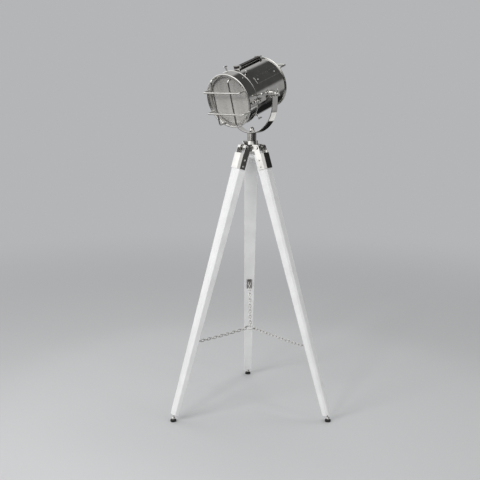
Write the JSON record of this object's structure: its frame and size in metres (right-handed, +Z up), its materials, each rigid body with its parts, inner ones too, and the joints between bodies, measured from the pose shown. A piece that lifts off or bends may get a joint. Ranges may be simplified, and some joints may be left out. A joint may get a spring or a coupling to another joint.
{
  "type": "tripod searchlight floor lamp",
  "caption": "Floor lamp in the shape of a ship's searchlight: a metal drum with a guarded, hinged glass front, tilting in a yoke on a wooden tripod with spreader chains.",
  "frame": {"origin": "on the floor, straight below the pan axis, in the middle of the three feet", "axes": "+Z up along the pan axis; +Y towards the rear leg; +X to the right when the lamp is seen from the side of the two front legs, with the rear leg behind"},
  "size_m": [0.7056, 0.6243, 1.5779],
  "materials": {
    "polished_nickel": "polished nickel plate",
    "white_painted_wood": "satin white paint",
    "black_rubber": "matt",
    "black_leather": "smooth, stitched edges",
    "frosted_glass": "frosted",
    "clear_glass": "clear",
    "spun_aluminium": "bright spun",
    "black_bakelite": "gloss",
    "black_nylon": "matt",
    "zinc_plated_steel": "zinc plate"
  },
  "bodies": {
    "tripod_hub": {"hub": "polished_nickel", "leg_bolt_rear": "polished_nickel", "leg_bolt_left": "polished_nickel", "leg_bolt_right": "polished_nickel"},
    "pan_lock": {"pan_lock_screw": "polished_nickel"},
    "yoke_and_pole": {"pole": "polished_nickel", "yoke": "polished_nickel", "acorn_nut": "polished_nickel"},
    "lamp_head": {"barrel": "polished_nickel", "bezel_thumb_screws": "polished_nickel", "rear_cover": "polished_nickel", "rear_handle": "polished_nickel", "cable_gland": "black_nylon", "carry_strap": "black_leather", "strap_loops": "polished_nickel", "side_plate": "polished_nickel", "plate_rivets": "polished_nickel", "reflector": "spun_aluminium", "lamp_holder": "black_bakelite", "holder_bridge": "zinc_plated_steel", "bulb": "clear_glass", "pivot_bolts": "polished_nickel", "friction_washers": "black_nylon", "hinge_leaf_fixed": "polished_nickel", "hinge_pin": "polished_nickel", "closing_bracket": "polished_nickel"},
    "front_door": {"bezel": "polished_nickel", "front_glass": "frosted_glass", "glass_gasket": "black_rubber", "retaining_ring": "polished_nickel", "guard_rod_top": "polished_nickel", "guard_rod_bottom": "polished_nickel", "guard_rod_left": "polished_nickel", "guard_rod_right": "polished_nickel", "hinge_leaf_door": "polished_nickel"},
    "closing_screw": {"closing_screw": "polished_nickel"},
    "tilt_lever": {"tilt_lever": "polished_nickel"},
    "tilt_wing_nut": {"tilt_wing_nut": "polished_nickel"},
    "leg_rear": {"leg_rear": "white_painted_wood", "leg_socket_rear": "polished_nickel", "socket_screws_rear": "polished_nickel", "chain_hook_rear": "polished_nickel"},
    "foot_rear": {"foot_screw_rear": "polished_nickel", "foot_pad_rear": "black_rubber"},
    "chain_rear": {"chain_rear": "polished_nickel", "chain_ring": "polished_nickel"},
    "leg_left": {"leg_left": "white_painted_wood", "leg_socket_left": "polished_nickel", "socket_screws_left": "polished_nickel", "chain_hook_left": "polished_nickel"},
    "foot_left": {"foot_screw_left": "polished_nickel", "foot_pad_left": "black_rubber"},
    "chain_left": {"chain_left": "polished_nickel"},
    "leg_right": {"leg_right": "white_painted_wood", "leg_socket_right": "polished_nickel", "socket_screws_right": "polished_nickel", "chain_hook_right": "polished_nickel"},
    "foot_right": {"foot_screw_right": "polished_nickel", "foot_pad_right": "black_rubber"},
    "chain_right": {"chain_right": "polished_nickel"}
  },
  "joints": [
    {"name": "pan", "type": "hinge", "parent": "tripod_hub", "child": "yoke_and_pole", "pos_m": [0, 0, 1.216], "axis": [0, 0, 1], "range_deg": [-170, 170]},
    {"name": "tilt", "type": "hinge", "parent": "yoke_and_pole", "child": "lamp_head", "pos_m": [0, 0, 1.4158], "axis": [0.7604, -0.6494, 0], "range_deg": [-50, 20]},
    {"name": "door_open", "type": "hinge", "parent": "lamp_head", "child": "front_door", "pos_m": [-0.15948, -0.00042, 1.40284], "axis": [0.1964, 0.2299, -0.9532], "range_deg": [0, 100]},
    {"name": "closing_screw_turn", "type": "hinge", "parent": "front_door", "child": "closing_screw", "pos_m": [0.01431, -0.16956, 1.38631], "axis": [-0.619, -0.7248, -0.3024], "range_deg": [0, 360]},
    {"name": "pan_lock_turn", "type": "hinge", "parent": "tripod_hub", "child": "pan_lock", "pos_m": [-0.02598, -0.015, 1.2062], "axis": [-0.866, -0.5, 0], "range_deg": [-90, 90]},
    {"name": "tilt_lever_turn", "type": "hinge", "parent": "yoke_and_pole", "child": "tilt_lever", "pos_m": [0.09429, -0.08053, 1.4158], "axis": [-0.7604, 0.6494, 0], "range_deg": [0, 75]},
    {"name": "wing_nut_turn", "type": "hinge", "parent": "yoke_and_pole", "child": "tilt_wing_nut", "pos_m": [-0.09429, 0.08053, 1.4158], "axis": [0.7604, -0.6494, 0], "range_deg": [-90, 90]},
    {"name": "leg_fold_rear", "type": "hinge", "parent": "tripod_hub", "child": "leg_rear", "pos_m": [0, 0.0393, 1.1872], "axis": [-1, 0, 0], "range_deg": [0, 16]},
    {"name": "leg_fold_left", "type": "hinge", "parent": "tripod_hub", "child": "leg_left", "pos_m": [-0.03404, -0.01965, 1.1872], "axis": [0.5, -0.866, 0], "range_deg": [0, 16]},
    {"name": "leg_fold_right", "type": "hinge", "parent": "tripod_hub", "child": "leg_right", "pos_m": [0.03404, -0.01965, 1.1872], "axis": [0.5, 0.866, 0], "range_deg": [0, 16]},
    {"name": "foot_level_rear", "type": "slide", "parent": "leg_rear", "child": "foot_rear", "axis": [0, 0.2882, -0.9576], "range_m": [0, 0.012]},
    {"name": "foot_level_left", "type": "slide", "parent": "leg_left", "child": "foot_left", "axis": [-0.2496, -0.1441, -0.9576], "range_m": [0, 0.012]},
    {"name": "foot_level_right", "type": "slide", "parent": "leg_right", "child": "foot_right", "axis": [0.2496, -0.1441, -0.9576], "range_m": [0, 0.012]},
    {"name": "chain_swing_rear", "type": "hinge", "parent": "leg_rear", "child": "chain_rear", "pos_m": [0, 0.21114, 0.52655], "axis": [1, 0, 0], "range_deg": [0, 64], "deforming": ["chain_rear"]},
    {"name": "chain_swing_left", "type": "hinge", "parent": "leg_left", "child": "chain_left", "pos_m": [-0.23108, -0.13341, 0.34591], "axis": [-0.5, 0.866, 0], "range_deg": [0, 112], "deforming": ["chain_left"]},
    {"name": "chain_swing_right", "type": "hinge", "parent": "leg_right", "child": "chain_right", "pos_m": [0.23667, -0.13664, 0.32496], "axis": [-0.5, -0.866, 0], "range_deg": [0, 112], "deforming": ["chain_right"]}
  ],
  "couplings": [
    {"joint": "leg_fold_left", "follows": "leg_fold_rear", "ratio": 1},
    {"joint": "leg_fold_right", "follows": "leg_fold_rear", "ratio": 1},
    {"joint": "chain_swing_rear", "follows": "leg_fold_rear", "ratio": 4},
    {"joint": "chain_swing_left", "follows": "leg_fold_rear", "ratio": 7},
    {"joint": "chain_swing_right", "follows": "leg_fold_rear", "ratio": 7}
  ]
}
